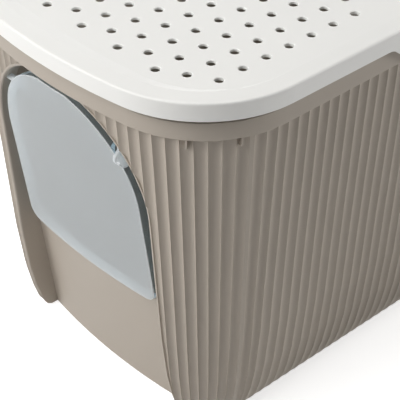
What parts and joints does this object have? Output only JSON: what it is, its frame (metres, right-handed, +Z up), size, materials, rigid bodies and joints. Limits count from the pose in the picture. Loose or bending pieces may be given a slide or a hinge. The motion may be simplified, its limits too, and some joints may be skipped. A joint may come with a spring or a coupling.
{
  "type": "litter box",
  "caption": "Top entry litter box: deep fluted tub with an arched door recess, perforated lift-off lid with an entry hole, and a frosted swinging front flap.",
  "frame": {"origin": "on the floor under the middle of the lid", "axes": "+X across the box, -Y towards the front with the flap, +Z up"},
  "size_m": [0.388, 0.58, 0.401],
  "materials": {
    "tub": "fine satin moulded taupe plastic",
    "lid": "matte moulded white plastic",
    "flap": "frosted translucent plastic"
  },
  "bodies": {
    "base": {"tub": "tub"},
    "lid": {"lid": "lid"},
    "flap": {"flap": "flap"}
  },
  "joints": [
    {"name": "lid_lift", "type": "slide", "parent": "base", "child": "lid", "axis": [0, 0, 1], "range_m": [0, 0.06]},
    {"name": "flap_swing", "type": "hinge", "parent": "base", "child": "flap", "pos_m": [0, -0.2595, 0.3145], "axis": [1, 0, 0], "range_deg": [-75, 75]}
  ]
}
